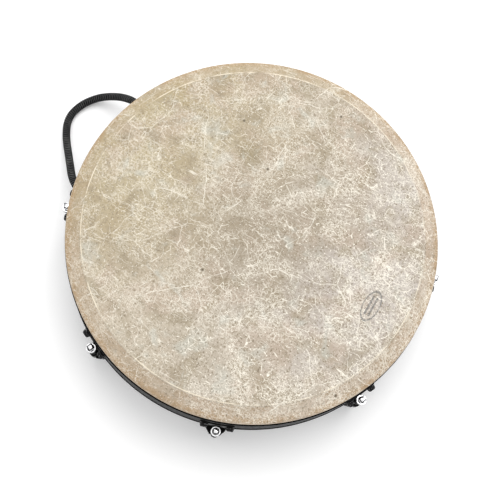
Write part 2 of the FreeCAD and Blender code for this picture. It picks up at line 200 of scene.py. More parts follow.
def tube(bm, points, radius_at, around, closed=False, groove=0.0):
    """Adds a tube of radius_at(length, angle) along points. Where that is under groove, it has material 1."""
    points = [Vector(p) for p in points]
    count = len(points)
    if closed:
        tangents = [(points[(i + 1) % count] - points[i - 1]).normalized() for i in range(count)]
    else:
        neighbours = [(points[max(i - 1, 0)], points[min(i + 1, count - 1)]) for i in range(count)]
        tangents = [(after - before).normalized() for before, after in neighbours]
    side = tangents[0].orthogonal().normalized()
    length = 0.0
    lengths = []
    rings = []
    for i, (p, tangent) in enumerate(zip(points, tangents)):
        side = (side - tangent * side.dot(tangent)).normalized()
        up = tangent.cross(side)
        if i:
            length += (p - points[i - 1]).length
        lengths.append(length)
        ring = []
        for k in range(around):
            a = TURN * k / around
            ring.append(bm.verts.new(p + (side * math.cos(a) + up * math.sin(a)) * radius_at(length, a)))
        rings.append(ring)
    joins = list(zip(rings, rings[1:]))
    if closed:
        joins.append((rings[-1], rings[0]))
    else:
        bm.faces.new(rings[0])
        bm.faces.new(rings[-1])
    half_step = (points[1] - points[0]).length / 2
    for (low, high), start in zip(joins, lengths):
        for k in range(around):
            m = (k + 1) % around
            face = bm.faces.new((low[k], low[m], high[m], high[k]))
            if radius_at(start + half_step, TURN * (k + 0.5) / around) < groove:
                face.material_index = 1


def stamp(name, build, matrices, smooth_angle):
    """One object holding a copy of what build(bm) makes at each matrix."""
    template = bmesh.new()
    build(template)
    bmesh.ops.recalc_face_normals(template, faces=template.faces)
    mesh = bpy.data.meshes.new(name + "_template")
    template.to_mesh(mesh)
    template.free()
    whole = bmesh.new()
    for matrix in matrices:
        start = len(whole.verts)
        whole.from_mesh(mesh)
        whole.verts.ensure_lookup_table()
        bmesh.ops.transform(whole, matrix=matrix, verts=whole.verts[start:])
    bpy.data.meshes.remove(mesh)
    return add_mesh(name, whole, smooth_angle)


def at_azimuth(angle):
    """A turn about the drum's axis."""
    return Matrix.Rotation(angle, 4, "Z")


# ---------------------------------------------------------------- material helpers


def set_inputs(node, values):
    for name, value in values.items():
        node.inputs[name].default_value = value


def new_material(name, roughness, metallic=0.0):
    material = bpy.data.materials.new(name)
    material.use_nodes = True
    tree = material.node_tree
    shader = tree.nodes["Principled BSDF"]
    set_inputs(shader, {"Roughness": roughness, "Metallic": metallic})
    return material, tree, shader


class Graph:
    """Short names for the nodes that the materials are made of."""

    def __init__(self, tree):
        self.tree = tree
        coordinates = tree.nodes.new("ShaderNodeTexCoord").outputs
        self.place, self.direction = coordinates["Object"], coordinates["Generated"]

    def node(self, kind, inputs, output=0, **settings):
        made = self.tree.nodes.new(kind)
        for name, value in settings.items():
            setattr(made, name, value)
        for key, value in inputs.items():
            if isinstance(value, bpy.types.NodeSocket):
                self.tree.links.new(value, made.inputs[key])
            else:
                made.inputs[key].default_value = value
        return made.outputs[output]

    def math(self, operation, a, b=0.0):
        return self.node("ShaderNodeMath", {0: a, 1: b}, operation=operation)

    def noise(self, scale, detail=2.0, roughness=0.5, distortion=0.0, place=None):
        inputs = {"Vector": place or self.place, "Scale": scale, "Detail": detail,
                  "Roughness": roughness, "Distortion": distortion}
        return self.node("ShaderNodeTexNoise", inputs, "Fac")

    def band(self, value, low, high, out_low=0.0, out_high=1.0):
        """value mapped from low..high to out_low..out_high, smoothly, and held outside."""
        inputs = {"Value": value, "From Min": low, "From Max": high, "To Min": out_low, "To Max": out_high}
        return self.node("ShaderNodeMapRange", inputs, interpolation_type="SMOOTHSTEP")

    def mix(self, factor, a, b):
        """Colour a at factor 0 and colour b at factor 1."""
        return self.node("ShaderNodeMix", {0: factor, 6: a, 7: b}, 2, data_type="RGBA")

    def split(self, vector):
        """The outputs X, Y and Z of a vector."""
        return self.node("ShaderNodeSeparateXYZ", {"Vector": vector}).node.outputs

    def shifted(self, offset):
        """Object coordinates moved along, so that each noise is a different one."""
        return self.node("ShaderNodeVectorMath", {0: self.place, 1: offset}, operation="ADD")

    def bumped(self, shader, height, distance, strength):
        inputs = {"Height": height, "Distance": distance, "Strength": strength}
        normal = self.node("ShaderNodeBump", inputs)
        self.tree.links.new(normal, shader.inputs["Normal"])

    def colour(self, shader, value):
        self.tree.links.new(value, shader.inputs["Base Color"])

    def roughness(self, shader, value):
        self.tree.links.new(value, shader.inputs["Roughness"])


def rgb(red, green, blue, light=1.0):
    """A linear colour from 0-255 display values, for a surface lit to light times its own colour."""
    def linear(v):
        v = v / 255
        return (v / 12.92 if v <= 0.04045 else ((v + 0.055) / 1.055) ** 2.4) / light
    return (linear(red), linear(green), linear(blue), 1.0)


# ---------------------------------------------------------------- the skin's material

SKIN_LIGHT = 1.31               # light on the head, for rgb()
FIBRE_LIGHT = 1.06
FIBRE_COLOUR = (250, 244, 229)
VEIN_COLOUR = (255, 250, 236)
CREASE_COLOUR = (244, 232, 208)
MARK_CENTRE = (-0.0008, -0.1473, 0)
MARK_HALF = (0.0185, 0.0092)
MARK_TURN = math.radians(-2)
BLOTCH_CENTRE = (0.074, 0.054, 0)


def skin_rgb(red, green, blue):
    """A linear colour that shows as these 0-255 values on the lit head."""
    return rgb(red, green, blue, SKIN_LIGHT)


def patches(g, scale, low, high, offset, detail=2.0):
    """Soft-edged patches of a noise: 1 inside and 0 outside."""
    return g.band(g.noise(scale, detail, 0.55, 0.5, g.shifted(offset)), low, high)


def cracks(g, place, scale, width):
    """The borders between the cells of a warped mosaic."""
    edge = g.node("ShaderNodeTexVoronoi", {"Vector": place, "Scale": scale}, feature="DISTANCE_TO_EDGE")
    return g.band(edge, 0.0, width, 1.0, 0.0)


def warped(g, scale, amount, detail=2.0):
    """Object coordinates pushed about by a noise."""
    inputs = {"Vector": g.place, "Scale": scale, "Detail": detail}
    swirl = g.node("ShaderNodeTexNoise", inputs, "Color")
    swirl = g.node("ShaderNodeVectorMath", {0: swirl, 1: (0.5, 0.5, 0.5)}, operation="SUBTRACT")
    swirl = g.node("ShaderNodeVectorMath", {0: swirl, "Scale": amount}, operation="SCALE")
    return g.node("ShaderNodeVectorMath", {0: g.place, 1: swirl}, operation="ADD")


def product(g, *values):
    """The values multiplied together."""
    result = values[0]
    for value in values[1:]:
        result = g.math("MULTIPLY", result, value)
    return result


def highest(g, *values):
    """The largest of the values."""
    result = values[0]
    for value in values[1:]:
        result = g.math("MAXIMUM", result, value)
    return result


def from_point(g, centre):
    """Distance from a point, measured across the head."""
    away = g.node("ShaderNodeVectorMath", {0: g.place, 1: centre}, operation="SUBTRACT")
    flat = g.node("ShaderNodeVectorMath", {0: away, 1: (1, 1, 0)}, operation="MULTIPLY")
    return g.node("ShaderNodeVectorMath", {0: flat}, "Value", operation="LENGTH")


def skin_ground(g):
    """The film's soft mottling: khaki near the rope, greyer and pinker away from it, with pale clouds."""
    x, y = g.split(g.place)["X"], g.split(g.place)["Y"]
    far = g.band(g.math("ADD", y, g.math("MULTIPLY", g.noise(7, 3.0), 0.12)), 0.24, -0.08)
    clouds = patches(g, 13, 0.36, 0.62, (0, 0, 0), 3.0)
    khaki = g.mix(clouds, skin_rgb(187, 168, 130), skin_rgb(199, 184, 151))
    grey = g.mix(clouds, skin_rgb(190, 177, 162), skin_rgb(204, 194, 185))
    colour = g.mix(far, khaki, grey)
    colour = g.mix(g.band(x, -0.03, -0.16, 0.0, 0.5), colour, skin_rgb(216, 204, 184))
    colour = g.mix(product(g, patches(g, 19, 0.46, 0.64, (3, 1, 0)), 0.6), colour, skin_rgb(202, 182, 162))
    colour = g.mix(product(g, patches(g, 34, 0.48, 0.66, (7, 4, 0)), 0.6), colour, skin_rgb(172, 157, 130))
    colour = g.mix(g.band(from_point(g, (0, 0, 0)), 0.02, 0.11, 0.6, 0.0), colour, skin_rgb(170, 156, 136))
    blotch = g.band(from_point(g, BLOTCH_CENTRE), 0.004, 0.022, 0.6, 0.0)
    colour = g.mix(blotch, colour, skin_rgb(158, 143, 106))
    colour = g.mix(product(g, patches(g, 95, 0.5, 0.68, (5, 8, 0)), 0.45), colour, skin_rgb(162, 147, 122))
    return g.mix(product(g, patches(g, 36, 0.55, 0.72, (1, 9, 0), 3.0), 0.6), colour, skin_rgb(212, 212, 200))


def strands(g, place, angle, scale, width, offset, stretch=0.25):
    """Short, nearly straight fibres that lie along one direction."""
    inputs = {"Vector": place, "Rotation": (0, 0, angle), "Scale": (1, stretch, 1), "Location": offset}
    along = g.node("ShaderNodeMapping", inputs)
    value = g.noise(scale, 1.0, 0.5, 0.0, along)
    line = g.band(g.math("ABSOLUTE", g.math("SUBTRACT", value, 0.5)), 0.0, width, 1.0, 0.0)
    return product(g, line, g.band(g.noise(scale * 1.7, 1.0, 0.5, 0.0, along), 0.50, 0.58))


def skin_wisps(g):
    """Wide, ragged bands along which the fibres gather."""
    bands = cracks(g, warped(g, 10, 0.060, 4.0), 8.5, 0.13)
    return product(g, bands, patches(g, 22, 0.38, 0.56, (7, 2, 0)))


def skin_fibres(g, wisps):
    """A mat of fine pale fibres, denser in some places and missing in others."""
    spread = highest(g, product(g, patches(g, 27, 0.42, 0.64, (5, 5, 0)), 0.85), wisps)
    spread = g.band(spread, 0.0, 1.0, 0.08, 1.0)
    place = warped(g, 60, 0.007, 2.0)
    mat = highest(g, strands(g, place, 0.3, 330, 0.030, (0, 0, 0)),
                  strands(g, place, 1.9, 360, 0.030, (0, 5, 0)),
                  strands(g, place, 2.6, 320, 0.028, (6, 2, 0)))
    speckle = g.band(g.noise(560, 2.0, 0.6), 0.57, 0.64)
    long_ones = highest(g, strands(g, place, 0.8, 150, 0.011, (1, 7, 0), 0.14),
                        strands(g, place, 2.2, 140, 0.010, (8, 3, 0), 0.14),
                        strands(g, place, 1.4, 145, 0.010, (4, 6, 0), 0.14))
    dots = g.band(g.noise(560, 1.0, 0.5, 0.0, g.shifted((2, 2, 0))), 0.67, 0.72)
    return highest(g, product(g, highest(g, mat, speckle), spread, 0.84), product(g, long_ones, 0.85), dots)


def skin_net(g, wisps):
    """A broken network of bright threads, fine and coarse."""
    coarse = cracks(g, warped(g, 80, 0.006, 3.0), 82, 0.042)
    coarse = product(g, coarse, highest(g, patches(g, 48, 0.53, 0.61, (6, 1, 0)), product(g, wisps, 0.8)))
    fine = cracks(g, warped(g, 230, 0.003, 2.0), 235, 0.10)
    fine = product(g, fine, highest(g, product(g, patches(g, 33, 0.46, 0.60, (3, 3, 0)), 0.85), wisps))
    worn = g.band(g.noise(260, 2.0, 0.6, 0.0, g.shifted((5, 1, 0))), 0.36, 0.54, 0.2, 1.0)
    return product(g, highest(g, coarse, product(g, fine, 0.8)), worn)


def skin_veins(g):
    """A few long pale folds in the film, and finer branches."""
    folds = cracks(g, warped(g, 12, 0.030, 4.0), 8.5, 0.0046)
    folds = product(g, folds, patches(g, 15, 0.47, 0.56, (2, 8, 0)))
    branches = cracks(g, warped(g, 30, 0.012, 3.0), 24, 0.012)
    branches = product(g, branches, patches(g, 30, 0.48, 0.58, (9, 3, 0)))
    frayed = g.band(g.noise(160, 2.0, 0.6, 0.0, g.shifted((3, 6, 0))), 0.36, 0.56, 0.35, 1.0)
    return product(g, highest(g, folds, product(g, branches, 0.8)), frayed)


def blank_label(g):
    """A printed oval outline round two plain bars: 1 on the ink and 0 off it."""
    inputs = {"Vector": g.node("ShaderNodeVectorMath", {0: g.place, 1: MARK_CENTRE}, operation="SUBTRACT"),
              "Rotation": (0, 0, MARK_TURN)}
    inside = g.split(g.node("ShaderNodeMapping", inputs))
    long_way = g.math("DIVIDE", inside["X"], MARK_HALF[0])
    short_way = g.math("DIVIDE", inside["Y"], MARK_HALF[1])
    reach = g.math("SQRT", g.math("ADD", g.math("POWER", g.math("ABSOLUTE", long_way), 2.0),
                                  g.math("POWER", g.math("ABSOLUTE", short_way), 2.0)))
    outline = g.band(g.math("ABSOLUTE", g.math("SUBTRACT", reach, 0.93)), 0.05, 0.08, 1.0, 0.0)
    off_bars = g.math("ABSOLUTE", g.math("SUBTRACT", g.math("ABSOLUTE", short_way), 0.24))
    bars = product(g, g.band(off_bars, 0.10, 0.14, 1.0, 0.0),
                   g.band(g.math("ABSOLUTE", long_way), 0.60, 0.63, 1.0, 0.0))
    return highest(g, outline, bars)


def skin_film():
    """Mottled, fibrous film, tan outside the crease, with a plain printed label."""
    material, tree, shader = new_material("skin_film", 0.6)
    g = Graph(tree)
    radius = from_point(g, (0, 0, 0))
    collar = g.band(radius, CREASE_RADIUS + 0.0004, CREASE_RADIUS + 0.0020)
    calm = g.math("SUBTRACT", 1.0, g.math("MULTIPLY", collar, 0.15))
    colour = skin_ground(g)
    tan = g.mix(patches(g, 40, 0.4, 0.65, (4, 7, 0)), skin_rgb(203, 174, 142), skin_rgb(220, 197, 170))
    x, y = g.split(g.place)["X"], g.split(g.place)["Y"]
    near_rope = g.math("ADD", g.math("MULTIPLY", x, 0.5), g.math("MULTIPLY", y, 0.87))
    tan = g.mix(g.band(near_rope, 0.02, 0.17, 0.0, 0.75), tan, skin_rgb(198, 180, 143))
    colour = g.mix(g.math("MULTIPLY", collar, 0.5), colour, tan)
    # Painted shade: the film is darkened in patches towards brown near its rounded edge.
    rim = g.band(radius, SKIN_RADIUS - 0.009, SKIN_RADIUS - 0.002)
    rim = product(g, rim, patches(g, 30, 0.30, 0.54, (2, 4, 0)))
    colour = g.mix(g.math("MULTIPLY", rim, 0.65), colour, skin_rgb(190, 156, 113))
    pits = g.band(g.noise(470, 3.0, 0.65, 0.0, g.shifted((4, 4, 0))), 0.52, 0.68)
    colour = g.mix(product(g, pits, calm, g.band(y, 0.10, -0.12, 0.68, 1.0)), colour, skin_rgb(136, 121, 98))
    wisps = skin_wisps(g)
    fibres = product(g, highest(g, skin_fibres(g, wisps), skin_net(g, wisps)), calm)
    bright = g.band(y, 0.10, -0.12, 0.7, 1.0)
    colour = g.mix(product(g, fibres, bright), colour, rgb(*FIBRE_COLOUR, FIBRE_LIGHT))
    veins = skin_veins(g)
    colour = g.mix(product(g, veins, 0.68), colour, rgb(*VEIN_COLOUR, FIBRE_LIGHT))

    cells = {"Vector": g.place, "Scale": 30.0}
    spot = g.node("ShaderNodeTexVoronoi", cells, "Distance", voronoi_dimensions="2D")
    cell = g.node("ShaderNodeTexVoronoi", cells, "Color", voronoi_dimensions="2D")
    chance = g.node("ShaderNodeSeparateColor", {"Color": cell})
    fleck = product(g, g.band(spot, 0.02, 0.07, 1.0, 0.0), g.math("GREATER_THAN", chance, 0.95))
    colour = g.mix(product(g, fleck, 0.8), colour, skin_rgb(96, 84, 62))

    off_crease = g.math("ABSOLUTE", g.math("SUBTRACT", radius, CREASE_RADIUS))
    crease = product(g, g.band(off_crease, 0.0001, 0.0009, 1.0, 0.0),
                     g.band(g.noise(36, 3.0, 0.6, 0.0, g.shifted((1, 1, 0))), 0.38, 0.60, 0.1, 1.0),
                     g.band(y, -0.08, 0.12, 0.7, 0.88))
    colour = g.mix(crease, colour, rgb(*CREASE_COLOUR, FIBRE_LIGHT))

    printed = blank_label(g)
    worn = g.band(g.noise(500, 3.0, 0.6, 0.0, g.shifted((9, 9, 0))), 0.35, 0.6, 0.8, 0.45)
    colour = g.mix(product(g, printed, worn), colour, skin_rgb(104, 106, 106))
    g.colour(shader, colour)
    relief = g.math("ADD", product(g, fibres, 0.5), g.math("SUBTRACT", veins, product(g, pits, 0.4)))
    g.bumped(shader, relief, 0.0002, 0.4)
    set_inputs(shader, {"Specular IOR Level": 0.3})
    return material


# ---------------------------------------------------------------- other materials


def gloss_black(name, roughness, level, gloss, wear_and_glint=0.0):
    """Black powder coat with a faint orange peel, a little dust, and pale specks that are partly worn bare
    metal and partly painted glints.
    """
    material, tree, shader = new_material(name, roughness)
    g = Graph(tree)
    tone = g.band(g.noise(60, 3.0, 0.6), 0.3, 0.7)
    colour = g.mix(tone, (level, level, level, 1), (level * 1.8, level * 1.7, level * 1.7, 1))
    # Pale specks: partly worn bare metal, partly painted glints standing in for highlights on the bolts.
    wear_glint_specks = g.band(g.noise(780, 2.0, 0.5, 0.0, g.shifted((3, 5, 2))), 0.59, 0.66, 0.0, wear_and_glint)
    g.colour(shader, g.mix(wear_glint_specks, colour, (0.62, 0.62, 0.65, 1)))
    g.roughness(shader, g.band(g.noise(240, 3.0, 0.6), 0.3, 0.7, roughness - 0.05, roughness + 0.08))
    g.bumped(shader, g.noise(900, 2.0, 0.5), 0.0001, 0.2)
    set_inputs(shader, {"Specular IOR Level": gloss})
    return material


def bare_metal(name, colour, roughness):
    """Plated or polished metal with fine turning marks and a few dull patches."""
    material, tree, shader = new_material(name, roughness, 1.0)
    g = Graph(tree)
    patch = g.band(g.noise(130, 3.0, 0.6), 0.35, 0.7)
    dull = tuple(c * 0.8 for c in colour[:3]) + (1.0,)
    g.colour(shader, g.mix(g.math("MULTIPLY", patch, 0.5), colour, dull))
    g.roughness(shader, g.band(g.noise(420, 3.0, 0.6), 0.3, 0.7, roughness, roughness + 0.09))
    return material


def shell_paint():
    """Satin black outside, and plain brown fibre board inside the drum."""
    material, tree, shader = new_material("shell_paint", 0.4)
    g = Graph(tree)
    painted = g.band(from_point(g, (0, 0, 0)), SHELL_RADIUS - 0.0072, SHELL_RADIUS - 0.0066)
    stretched = g.node("ShaderNodeVectorMath", {0: g.place, 1: (1, 1, 6)}, operation="MULTIPLY")
    fibre = g.noise(240, 4.0, 0.7, 0.5, stretched)
    board = g.mix(g.band(fibre, 0.3, 0.7), rgb(92, 70, 50), rgb(134, 106, 78))
    paint = g.mix(g.band(g.noise(50, 3.0), 0.3, 0.7), rgb(20, 19, 19), rgb(31, 30, 30))
    g.colour(shader, g.mix(painted, board, paint))
    g.roughness(shader, g.band(painted, 0.0, 1.0, 0.75, 0.36))
    g.bumped(shader, fibre, 0.0002, 0.3)
    return material


def varnished_wood():
    """Pale varnished wood with its grain along X."""
    material, tree, shader = new_material("bar_wood", 0.38)
    g = Graph(tree)
    along = g.node("ShaderNodeVectorMath", {0: g.place, 1: (1.2, 14, 14)}, operation="MULTIPLY")
    grain = g.noise(14, 6.0, 0.65, 1.2, along)
    pores = g.noise(110, 3.0, 0.7, 0.2, along)
    colour = g.mix(g.band(grain, 0.32, 0.68), rgb(150, 104, 62), rgb(205, 160, 108))
    colour = g.mix(g.math("MULTIPLY", g.band(pores, 0.58, 0.74), 0.5), colour, rgb(98, 62, 36))
    g.colour(shader, colour)
    g.bumped(shader, g.math("ADD", grain, pores), 0.0002, 0.25)
    set_inputs(shader, {"Coat Weight": 0.25, "Coat Roughness": 0.2})
    return material


def rubber():
    """Matt moulded black rubber."""
    material, tree, shader = new_material("grommet_rubber", 0.62)
    g = Graph(tree)
    g.colour(shader, g.mix(g.noise(300, 3.0), rgb(20, 20, 21), rgb(40, 40, 41)))
    g.bumped(shader, g.noise(1400, 2.0), 0.0001, 0.3)
    return material


def rope_black():
    """Black braid on the tops of its ribs, its yarns coloured from near black to grey, the grey partly a
    painted highlight.
    """
    material, tree, shader = new_material("rope_black", 0.48)
    g = Graph(tree)
    yarn_and_highlight = g.band(g.noise(1500, 3.0, 0.7), 0.35, 0.7)
    worn = g.band(g.noise(70, 3.0), 0.45, 0.75)
    # Painted highlight: the rib tops' yarns reach mid grey, lighter than black nylon, mixed with the yarns'
    # own variation.
    colour = g.mix(yarn_and_highlight, rgb(34, 34, 35), rgb(98, 98, 98))
    g.colour(shader, g.mix(g.math("MULTIPLY", worn, 0.4), colour, rgb(140, 139, 137)))
    g.bumped(shader, g.noise(2600, 3.0, 0.7), 0.0003, 0.6)
    set_inputs(shader, {"Sheen Weight": 0.03, "Sheen Roughness": 0.4, "Specular IOR Level": 0.15})
    return material


def painted_groove_shade():
    """Painted shade in the braid's grooves: near black, darker than the rib tops."""
    material, tree, shader = new_material("painted_groove_shade", 0.8)
    g = Graph(tree)
    g.colour(shader, g.mix(g.noise(1500, 2.0), rgb(1, 1, 2), rgb(8, 8, 8)))
    set_inputs(shader, {"Specular IOR Level": 0.02})
    return material


# ---------------------------------------------------------------- the head

FLAT_RINGS = 24                 # across the flat skin
HEAD_SEGMENTS = 384
SHOULDER_DROP = 0.0089          # from the skin down to the start of its rounded edge
EDGE_WIDTH, EDGE_HEIGHT = 0.0042, 0.0046
SHEET_THICK = 0.00022
COLLAR_RIPPLE = 0.00045


def head_outline():
    """The outside of the film's section, from the centre to the hem."""
    shoulder_z = SKIN_TOP - SHOULDER_DROP
    outside = [(CREASE_RADIUS * math.sqrt(i / FLAT_RINGS), SKIN_TOP) for i in range(FLAT_RINGS)]
    outside += [(CREASE_RADIUS - 0.0009, SKIN_TOP), (CREASE_RADIUS - 0.0003, SKIN_TOP + 0.00018),
                (CREASE_RADIUS + 0.0004, SKIN_TOP + 0.0001), (CREASE_RADIUS + 0.0011, SKIN_TOP - 0.0006)]
    cone_start, cone_end = Vector(outside[-1]), Vector((SKIN_RADIUS - 0.0034, shoulder_z))
    outside += [tuple(cone_start.lerp(cone_end, i / 8)) for i in range(1, 8)]
    turn_centre = Vector((SKIN_RADIUS - EDGE_WIDTH, shoulder_z - EDGE_HEIGHT))
    for i in range(7):
        a = math.radians(72 - 12 * i)
        outside.append((turn_centre.x + EDGE_WIDTH * math.cos(a), turn_centre.y + EDGE_HEIGHT * math.sin(a)))
    outside += [(SKIN_RADIUS, HEM_Z + 0.0060), (SKIN_RADIUS, HEM_Z + 0.0030), (SKIN_RADIUS, HEM_Z + 0.0003),
                (SKIN_RADIUS - 0.0001, HEM_Z)]
    return outside


def make_head():
    outside = head_outline()
    inside = [(max(r - SHEET_THICK, 0.0), z - SHEET_THICK) for r, z in reversed(outside[:-1])]
    outline = outside + inside[:-1] + [(0.0, SKIN_TOP - FILM)]
    bm = bmesh.new()
    lathe(bm, outline, HEAD_SEGMENTS)
    for v in bm.verts:
        radius, angle = math.hypot(v.co.x, v.co.y), math.atan2(v.co.y, v.co.x)
        along = (radius - CREASE_RADIUS) / (SKIN_RADIUS - CREASE_RADIUS)
        if 0 < along < 1:
            around = Vector((math.cos(angle), math.sin(angle), 0)) * 4
            ripple = noise.noise(around + Vector((0, 0, 3 * along)))
            v.co.z += COLLAR_RIPPLE * math.sin(math.pi * along) * ripple
    head = add_mesh("drum_head", bm, 50)
    head.data.materials.append(skin_film())
    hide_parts("head_skin", "head_collar")
    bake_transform(head)


# ---------------------------------------------------------------- hoops

BAND_RADIUS = 0.2044
BAND_WALL = 0.0016
BEAD_RADIUS = 0.0017
LIP_INNER = 0.1992
LIP_THICK = 0.0036
BAND_CUT = 0.02                 # height over the lower edge at which the drawn section starts
HOOP_ROUND = 0.0007


def make_hoop(material):
    """The tuning hoop: a band with an inward lip at its top and a rolled bead at its bottom."""
    inner = BAND_RADIUS - BAND_WALL
    top = [(BAND_RADIUS, HOOP_TOP), (LIP_INNER, HOOP_TOP), (LIP_INNER, HOOP_TOP - LIP_THICK),
           (inner, HOOP_TOP - LIP_THICK)]
    cut = HOOP_BOTTOM + BAND_CUT
    corners = [(inner, cut), (BAND_RADIUS, cut)] + top
    section = rounded(corners, HOOP_ROUND)[10:]     # without the arcs of the two cut corners
    bead_z = HOOP_BOTTOM + BEAD_RADIUS
    bead = []
    for i in range(19):
        a = math.radians(150 + 15 * i)
        bead.append((BAND_RADIUS + BEAD_RADIUS * math.cos(a), bead_z + BEAD_RADIUS * math.sin(a)))
    bm = bmesh.new()
    lathe(bm, bead + section, 360)
    hoop = add_mesh("tuning_band", bm, 40)
    hoop.data.materials.append(material)
    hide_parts("tuning_hoop")
    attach(hoop, "hoop")


# ---------------------------------------------------------------- lugs

ROD_CIRCLE = 0.2115
FLANGE_Z = 0.0585
FLANGE_RADIUS = 0.0054
FLANGE_THICK = 0.0016
FLANGE_RIM = 0.0014
FLANGE_PAN = 0.0006
KEY_CHAMFER = 0.0012
THREAD_RADIUS = 0.0030
THREAD_PITCH = 0.001
THREAD_DEPTH = 0.00036
THREAD_END = 0.0065             # below the flange
ROD_TIP_RADIUS, ROD_TIP_SLOPE = 0.0022, 0.9
BOLT_RADIUS = 0.0025
BOLT_FLANGE_RADIUS, BOLT_FLANGE_THICK = 0.0050, 0.0009
BOLT_PAST_NUT = 0.005
HEX_FLATS = 0.0080
HEX_START, HEX_END, HEX_CHAMFER = 0.0005, 0.0041, 0.0018
NUT_GAP, NUT_HEIGHT, NUT_CHAMFER = 0.00105, 0.004, 0.0006
WASHER_THICK, WASHER_HOLE = 0.001, 0.0026
DISC_EDGE = 0.0003
EAR_WALL = 0.0015
EAR_BOLT_OFFSET = 0.0142
BRACKET_WALL = 0.003
BRACKET_BOLT_OFFSET = 0.0135
SHELL_WALL = 0.008


def thread_radius(length):
    """An M6 thread's radius at a height along it, at angle 0."""
    phase = (length / THREAD_PITCH) % 1
    return THREAD_RADIUS - THREAD_DEPTH * abs(2 * phase - 1)


def build_rod(bm):
    """A tension rod at azimuth 0: threaded shaft, flange with a raised rim, and a square key head."""
    low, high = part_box("tension_rod_1")
    middle = Vector((ROD_CIRCLE, 0, 0))
    steps, around = 12, 20
    plain_start = FLANGE_Z - THREAD_END
    rings = []
    for i in range(int((plain_start - low.z) / THREAD_PITCH * steps) + 1):
        height = i * THREAD_PITCH / steps
        ring = []
        for k in range(around):
            a = TURN * k / around
            tip = ROD_TIP_RADIUS + height * ROD_TIP_SLOPE
            r = min(thread_radius(height + THREAD_PITCH * k / around), tip)
            ring.append(bm.verts.new(middle + Vector((r * math.cos(a), r * math.sin(a), low.z + height))))
        rings.append(ring)
    skin_rings(bm, rings)
    spin = Matrix.Translation(middle + Vector((0, 0, FLANGE_Z)))
    lathe(bm, [(0, -0.0066), (0.0028, -0.0066), (0.0030, -0.0062), (0.0030, 0.0002), (0, 0.0002)], 32, spin)
    rim = FLANGE_RADIUS
    flange = [(0, 0), (rim - 0.0002, 0), (rim, 0.0002), (rim, FLANGE_THICK - 0.0003),
              (rim - 0.0003, FLANGE_THICK), (rim - FLANGE_RIM, FLANGE_THICK),
              (rim - FLANGE_RIM - 0.0003, FLANGE_THICK - 0.0004), (rim - FLANGE_RIM - 0.0004, FLANGE_PAN),
              (0, FLANGE_PAN)]
    lathe(bm, flange, 64, spin)
    square_head(bm, middle, FLANGE_Z + 0.0005, high.z)


def skin_rings(bm, rings):
    """Faces between rings of the same number of points, and a cap at each end."""
    bm.faces.new(rings[0])
    bm.faces.new(rings[-1])
    for below, above in zip(rings, rings[1:]):
        for k in range(len(below)):
            m = (k + 1) % len(below)
            bm.faces.new((below[k], below[m], above[m], above[k]))


def square_head(bm, middle, low, high):
    """A square bar with rounded corners and a domed, chamfered end."""
    half, corner = 0.003175, 0.0007
    levels = [(low, 1.0), (high - KEY_CHAMFER, 1.0), (high - 0.0007, 0.93), (high - 0.0002, 0.76),
              (high, 0.66)]
    rings = []
    for z, scale in levels:
        ring = []
        for quarter in range(4):
            base = math.radians(90 * quarter)
            for step in range(4):
                a = base + math.radians(30 * step)
                centre = Vector((math.cos(base + math.pi / 4), math.sin(base + math.pi / 4)))
                centre *= (half - corner) * math.sqrt(2)
                x = (centre.x + corner * math.cos(a)) * scale
                y = (centre.y + corner * math.sin(a)) * scale
                ring.append(bm.verts.new(middle + Vector((x, y, z))))
        rings.append(ring)
    skin_rings(bm, rings)


def make_rods(chrome, worn):
    """Rods with a chromed flange and head; dark steel on the shaft, and the same dark steel in the pan and on
    the head's chamfer as painted shade.
    """
    pan, rim_top = FLANGE_Z + FLANGE_PAN, FLANGE_Z + FLANGE_THICK
    for number, angle in enumerate(LUG_ANGLES, 1):
        node = "tension_rod_%d" % number
        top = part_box(node)[1].z
        rod = stamp("rod_%d" % number, build_rod, [at_azimuth(angle)], 32)
        rod.data.materials.append(chrome)
        rod.data.materials.append(worn)
        axis = Vector((ROD_CIRCLE * math.cos(angle), ROD_CIRCLE * math.sin(angle), 0))
        # The shaft gets its own dark steel; the pan and the key's chamfer get the same dark steel as painted
        # shade.
        for face in rod.data.polygons:
            away = face.center - axis
            sloping = face.normal.z < 0.93
            shaft = away.z < FLANGE_Z - 0.0001
            chamfer = sloping and away.z > top - KEY_CHAMFER
            inside_rim = math.hypot(away.x, away.y) < FLANGE_RADIUS - FLANGE_RIM and away.z < rim_top - 0.0001
            if shaft or chamfer or inside_rim and away.z > pan - 0.0002:
                face.material_index = 1
        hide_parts(node)
        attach(rod, "rod_%d" % number)


def hex_outline(flats, start, end, chamfer):
    """Rings of a hexagonal head along X, its outer end chamfered round: a list of (x, ring)."""
    corner = flats / math.sqrt(3)
    rings = []
    for x, limit in ((start, corner), (end - chamfer, corner), (end - chamfer / 3, flats / 2 * 0.95),
                     (end, flats / 2 * 0.78)):
        ring = []
        for k in range(36):
            a = TURN * k / 36
            facet = (a + math.pi / 6) % (math.pi / 3) - math.pi / 6
            ring.append((min(flats / 2 / math.cos(facet), limit), a))
        rings.append((x, ring))
    return rings


def add_hex(bm, spot, flats, start, end, chamfer):
    """A hexagonal bolt head or nut about an axis along X."""
    rings = []
    for x, ring in hex_outline(flats, start, end, chamfer):
        rings.append([bm.verts.new(Vector((x, spot[0] + r * math.cos(a), spot[1] + r * math.sin(a))))
                      for r, a in ring])
    skin_rings(bm, rings)


def add_disc(bm, spot, radius, start, end, hole=0.0):
    """A round disc or washer about an axis along X."""
    turn = Matrix.Translation((0, spot[0], spot[1])) @ Matrix.Rotation(math.pi / 2, 4, "Y")
    if hole:
        outline = rounded([(hole, start), (radius, start), (radius, end), (hole, end)], DISC_EDGE, 2)
    else:
        outline = [(0, start), (radius - DISC_EDGE, start), (radius, start + DISC_EDGE),
                   (radius, end - DISC_EDGE), (radius - DISC_EDGE, end), (0, end)]
    lathe(bm, outline, 32, turn)


def middle_height(node):
    low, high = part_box(node)
    return (low.z + high.z) / 2


